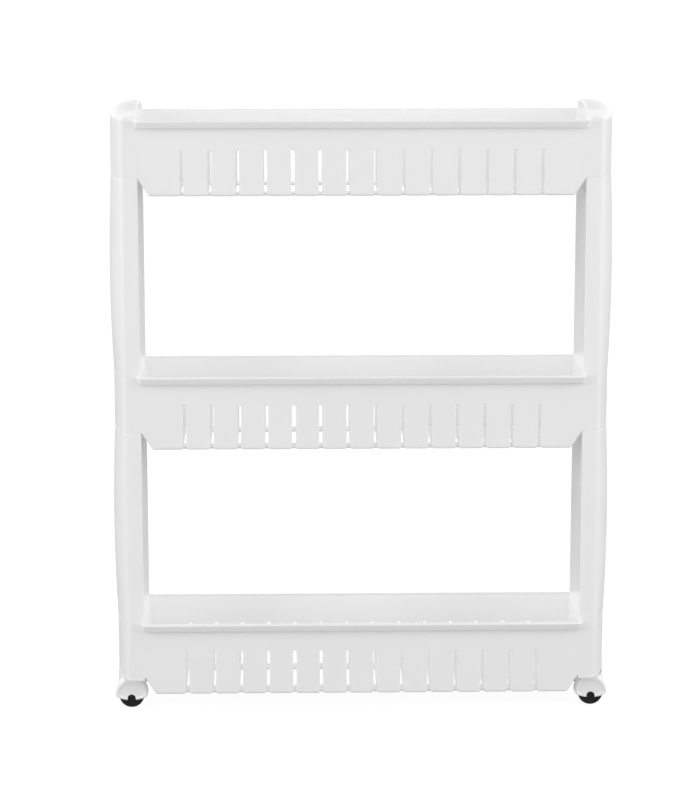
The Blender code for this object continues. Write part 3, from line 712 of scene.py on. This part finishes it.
# ---- materials ----
class Nodes:
    """Short names for building a material's node tree."""

    def __init__(self, name):
        self.material = bpy.data.materials.new(name)
        self.material.use_nodes = True
        self.tree = self.material.node_tree
        self.shader = self.tree.nodes["Principled BSDF"]

    def add(self, kind, **settings):
        node = self.tree.nodes.new(kind)
        for key, value in settings.items():
            setattr(node, key, value)
        return node

    def link(self, source, target):
        self.tree.links.new(source, target)

    def noise(self, vector, scale, detail, roughness=0.5):
        node = self.add("ShaderNodeTexNoise")
        node.inputs["Scale"].default_value = scale
        node.inputs["Detail"].default_value = detail
        node.inputs["Roughness"].default_value = roughness
        self.link(vector, node.inputs["Vector"])
        return node.outputs["Fac"]

    def ranged(self, value, source, target):
        """A value clamped from one (low, high) range to another."""
        node = self.add("ShaderNodeMapRange")
        for socket, number in zip(node.inputs[1:5], source + target):
            socket.default_value = number
        self.link(value, node.inputs[0])
        return node.outputs[0]

    def math(self, operation, first, second):
        node = self.add("ShaderNodeMath", operation=operation)
        for socket, value in zip(node.inputs, (first, second)):
            if isinstance(value, (int, float)):
                socket.default_value = value
            else:
                self.link(value, socket)
        return node.outputs[0]

    def mixed(self, factor, first, second):
        """A colour between two colours."""
        node = self.add("ShaderNodeMix", data_type="RGBA")
        self.link(factor, node.inputs[0])
        for socket, value in ((node.inputs[6], first), (node.inputs[7], second)):
            if isinstance(value, tuple):
                socket.default_value = (*value, 1.0)
            else:
                self.link(value, socket)
        return node.outputs[2]

    def coordinates(self, stretch=(1.0, 1.0, 1.0)):
        """Coordinates of the object, shifted by a different amount for each piece."""
        info = self.add("ShaderNodeObjectInfo")
        shift = self.math("MULTIPLY", info.outputs["Random"], 7.0)
        place = self.add("ShaderNodeTexCoord").outputs["Object"]
        moved = self.add("ShaderNodeVectorMath", operation="ADD")
        self.link(place, moved.inputs[0])
        self.link(shift, moved.inputs[1])
        scaled = self.add("ShaderNodeVectorMath", operation="MULTIPLY")
        scaled.inputs[1].default_value = stretch
        self.link(moved.outputs[0], scaled.inputs[0])
        return scaled.outputs[0]

    def bumped(self, height, distance, strength, under=None):
        node = self.add("ShaderNodeBump")
        node.inputs["Strength"].default_value = strength
        node.inputs["Distance"].default_value = distance
        self.link(height, node.inputs["Height"])
        if under is not None:
            self.link(under, node.inputs["Normal"])
        return node.outputs["Normal"]


def grey(level):
    return (level, level, level)


def moulded_plastic(name, white, roughness):
    """Semi-gloss white polypropylene: faint flow marks, fine mould grain, hairline scuffs, and a
    faint painted glow.
    """
    nodes = Nodes(name)
    place = nodes.coordinates()
    light, dark = grey(white), grey(white - 0.015)
    flow = nodes.noise(place, scale=9.0, detail=4.0)
    specks = nodes.noise(place, scale=420.0, detail=2.0)
    tint = nodes.mixed(nodes.ranged(flow, (0.3, 0.7), (0.0, 1.0)), dark, light)
    speck_tint = nodes.mixed(nodes.ranged(specks, (0.68, 0.8), (0.0, 0.35)), tint, dark)
    nodes.link(speck_tint, nodes.shader.inputs["Base Color"])

    along = nodes.noise(nodes.coordinates(stretch=(6.0, 45.0, 900.0)), scale=1.0, detail=3.0)
    scuffs = nodes.ranged(along, (0.62, 0.72), (0.0, 1.0))
    clouds = nodes.noise(place, scale=26.0, detail=5.0)
    patches = nodes.ranged(clouds, (0.35, 0.65), (roughness - 0.04, roughness + 0.05))
    worn = nodes.math("ADD", patches, nodes.math("MULTIPLY", scuffs, 0.06))
    nodes.link(worn, nodes.shader.inputs["Roughness"])

    ripples = nodes.noise(place, scale=38.0, detail=2.0)
    waves = nodes.bumped(ripples, distance=0.00012, strength=0.35)
    fine = nodes.noise(place, scale=1500.0, detail=2.0)
    grain = nodes.bumped(fine, distance=0.00003, strength=0.5, under=waves)
    marks = nodes.bumped(scuffs, distance=0.00001, strength=0.4, under=grain)
    nodes.link(marks, nodes.shader.inputs["Normal"])
    nodes.shader.inputs["IOR"].default_value = 1.49
    nodes.shader.inputs["Subsurface Weight"].default_value = 0.15
    nodes.shader.inputs["Subsurface Radius"].default_value = (1.0, 1.0, 1.0)
    nodes.shader.inputs["Subsurface Scale"].default_value = 0.003
    # painted glow: the plastic emits a little white light of its own, standing in for light that
    # comes through its thin walls
    nodes.shader.inputs["Emission Color"].default_value = (1.0, 1.0, 1.0, 1.0)
    nodes.shader.inputs["Emission Strength"].default_value = PLASTIC_PAINTED_GLOW
    return nodes.material


def black_plastic(name, roughness):
    """Satin black plastic with fine grain and a little pale dust."""
    nodes = Nodes(name)
    place = nodes.coordinates()
    cloud = nodes.noise(place, scale=180.0, detail=5.0, roughness=0.6)
    dust = nodes.ranged(cloud, (0.55, 0.8), (0.0, 0.5))
    tint = nodes.mixed(dust, (0.004, 0.004, 0.0045), (0.022, 0.0215, 0.021))
    nodes.link(tint, nodes.shader.inputs["Base Color"])
    rubbed = nodes.noise(place, scale=320.0, detail=4.0)
    patches = nodes.ranged(rubbed, (0.3, 0.7), (roughness - 0.06, roughness + 0.10))
    nodes.link(patches, nodes.shader.inputs["Roughness"])
    fine = nodes.noise(place, scale=2600.0, detail=3.0)
    grain = nodes.bumped(fine, distance=0.00004, strength=0.6)
    nodes.link(grain, nodes.shader.inputs["Normal"])
    return nodes.material


def zinc_steel(name):
    """Zinc-plated steel with fine drawn lines and dull patches."""
    nodes = Nodes(name)
    patches = nodes.noise(nodes.coordinates(), scale=350.0, detail=4.0)
    tint = nodes.mixed(patches, (0.52, 0.52, 0.50), (0.68, 0.68, 0.67))
    nodes.link(tint, nodes.shader.inputs["Base Color"])
    dulled = nodes.ranged(patches, (0.3, 0.7), (0.24, 0.42))
    nodes.link(dulled, nodes.shader.inputs["Roughness"])
    lines = nodes.noise(nodes.coordinates(stretch=(9000.0, 300.0, 9000.0)), scale=1.0, detail=2.0)
    drawn = nodes.bumped(lines, distance=0.00001, strength=0.5)
    nodes.link(drawn, nodes.shader.inputs["Normal"])
    nodes.shader.inputs["Metallic"].default_value = 1.0
    return nodes.material


def floor_paint(name):
    """Matt white studio floor with the faintest mottling."""
    nodes = Nodes(name)
    clouds = nodes.noise(nodes.coordinates(), scale=3.0, detail=3.0)
    tint = nodes.mixed(clouds, grey(0.21), grey(0.23))
    nodes.link(tint, nodes.shader.inputs["Base Color"])
    nodes.shader.inputs["Roughness"].default_value = 0.9
    nodes.shader.inputs["Specular IOR Level"].default_value = 0.1
    nodes.shader.inputs["Emission Color"].default_value = (1.0, 1.0, 1.0, 1.0)
    nodes.shader.inputs["Emission Strength"].default_value = FLOOR_GLOW
    return nodes.material


TRAY_PLASTIC = moulded_plastic("tray_plastic_white", white=0.88, roughness=0.34)
PANEL_PLASTIC = moulded_plastic("panel_plastic_white", white=0.90, roughness=0.32)
HOOD_PLASTIC = moulded_plastic("hood_plastic_white", white=0.92, roughness=0.38)
WHEEL_PLASTIC = black_plastic("wheel_plastic_black", roughness=0.46)
CLIP_PLASTIC = black_plastic("clip_plastic_black", roughness=0.40)
PIN_STEEL = zinc_steel("pin_steel_zinc")


# ---- putting pieces in place ----
def place_piece(name, mesh, material, node, body="root", at=(0.0, 0.0, 0.0),
                turned_round=False):
    """Add a piece that stands for a CAD node, smooth but for its sharp edges."""
    piece = bpy.data.objects.new(name, mesh)
    bpy.context.scene.collection.objects.link(piece)
    if not mesh.materials:
        mesh.shade_smooth()
        mesh.set_sharp_from_angle(angle=math.radians(50.0))
        mesh.materials.append(material)
    piece.location = at
    piece.rotation_euler = (0.0, 0.0, math.pi if turned_round else 0.0)
    weighting = piece.modifiers.new("even_shading", "WEIGHTED_NORMAL")
    weighting.keep_sharp = True
    weighting.weight = 80
    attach(piece, body)
    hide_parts(node)
    return piece


def build_cart():
    tray = make_tray_mesh()
    for tier in TIERS:
        place_piece("moulded_tray_" + tier, tray, TRAY_PLASTIC, "tray_" + tier,
                    at=(0.0, 0.0, RIMS[tier]))
    upright, cap, foot = make_upright_mesh(), make_cap_mesh(), make_foot_mesh()
    for end in ("left", "right"):
        left = end == "left"
        for tier, below in (("lower", "bottom"), ("upper", "middle")):
            place_piece(f"moulded_upright_{tier}_{end}", upright, PANEL_PLASTIC,
                        f"upright_{tier}_{end}", at=(0.0, 0.0, RIMS[below] + SEAM),
                        turned_round=left)
        place_piece("moulded_cap_" + end, cap, PANEL_PLASTIC, "end_cap_" + end,
                    at=(0.0, 0.0, RIMS["top"]), turned_round=left)
        place_piece("moulded_foot_" + end, foot, PANEL_PLASTIC, "foot_" + end,
                    turned_round=left)
    hood, wheel, axle = make_hood_mesh(), make_wheel_mesh(), make_axle_mesh()
    stem, clip = make_stem_mesh(), make_clip_mesh()
    for depth in ("front", "back"):
        for end in ("left", "right"):
            tag = f"{depth}_{end}"
            x, y, z = AXLE[f"wheel_{tag}_spin"]
            place_piece("hood_" + tag, hood, HOOD_PLASTIC, "caster_hood_" + tag,
                        at=(x, y, 0.0), turned_round=depth == "back")
            place_piece("turned_wheel_" + tag, wheel, WHEEL_PLASTIC,
                        "wheel_" + tag, body="wheel_" + tag, at=(x, y, z))
            place_piece("pin_" + tag, axle, PIN_STEEL, "axle_" + tag, at=(x, y, z))
            place_piece("stem_" + tag, stem, PIN_STEEL, "caster_stem_" + tag,
                        at=(x, y, 0.0))
            for where in ("outer", "inner"):
                faces_back = (depth == "back") == (where == "outer")
                place_piece(f"clip_{where}_{tag}", clip, CLIP_PLASTIC,
                            f"axle_clip_{where}_{tag}", at=(x, y, 0.0), turned_round=faces_back)


# ---- studio ----
def build_floor():
    """A wide pale floor, round so that no edge shows from any side.

    It catches shadows but doesn't light the cart: the world's dim lower half does that.
    """
    work = bmesh.new()
    bmesh.ops.create_circle(work, cap_ends=True, segments=FLOOR_STEPS, radius=FLOOR_RADIUS)
    floor = bpy.data.objects.new("studio_floor", finished("studio_floor", work))
    bpy.context.scene.collection.objects.link(floor)
    floor.data.materials.append(floor_paint("studio_floor_paint"))
    floor.visible_diffuse = False
    floor.visible_glossy = False
    floor.visible_shadow = False


def build_world():
    """White light all round, brightest at the horizon, weaker above and weakest below."""
    world = bpy.data.worlds.new("studio")
    bpy.context.scene.world = world
    world.use_nodes = True
    nodes, links = world.node_tree.nodes, world.node_tree.links
    direction = nodes.new("ShaderNodeTexCoord")
    split = nodes.new("ShaderNodeSeparateXYZ")
    ramp = nodes.new("ShaderNodeValToRGB")
    links.new(direction.outputs["Generated"], split.inputs[0])
    links.new(split.outputs["Z"], ramp.inputs[0])
    points = ramp.color_ramp.elements
    for position, _ in WORLD_STOPS[1:-1]:
        points.new(position)
    for point, (position, level) in zip(points, WORLD_STOPS):
        point.position = position
        point.color = (*grey(level), 1.0)
    below = nodes.new("ShaderNodeMapRange")
    strengths = (WORLD_BELOW / WORLD_HORIZON, 1.0)
    for socket, number in zip(below.inputs[1:5], WORLD_FADE + strengths):
        socket.default_value = number
    links.new(split.outputs["Z"], below.inputs[0])
    links.new(below.outputs[0], nodes["Background"].inputs["Strength"])
    links.new(ramp.outputs["Color"], nodes["Background"].inputs["Color"])


def add_softbox(name, place, size, power):
    """A large rectangular light that faces the middle of the cart."""
    light = bpy.data.lights.new(name, "AREA")
    light.shape = "RECTANGLE"
    light.size, light.size_y = size
    light.energy = power
    lamp = bpy.data.objects.new(name, light)
    bpy.context.scene.collection.objects.link(lamp)
    lamp.location = place
    aim = LIGHT_TARGET - lamp.location
    lamp.rotation_euler = aim.to_track_quat("-Z", "Y").to_euler()
    lamp.visible_camera = False


def build_studio():
    build_floor()
    build_world()
    x, y, z = SIDE_LIGHT_PLACE
    add_softbox("front", FRONT_LIGHT_PLACE, FRONT_LIGHT_SIZE, FRONT_LIGHT_POWER)
    add_softbox("left_side", (-x, y, z), SIDE_LIGHT_SIZE, SIDE_LIGHT_POWER)
    add_softbox("right_side", (x, y, z), SIDE_LIGHT_SIZE, SIDE_LIGHT_POWER)
    bpy.context.scene.view_settings.view_transform = "Standard"


def build_camera():
    data = bpy.data.cameras.new("camera")
    data.lens = CAMERA_LENS
    data.sensor_width = CAMERA_SENSOR
    data.shift_y = CAMERA_SHIFT_Y
    camera = bpy.data.objects.new("camera", data)
    bpy.context.scene.collection.objects.link(camera)
    camera.location = CAMERA_PLACE
    camera.rotation_euler = (QUARTER - CAMERA_PITCH, 0.0, CAMERA_YAW)
    bpy.context.scene.camera = camera


build_cart()
build_studio()
build_camera()
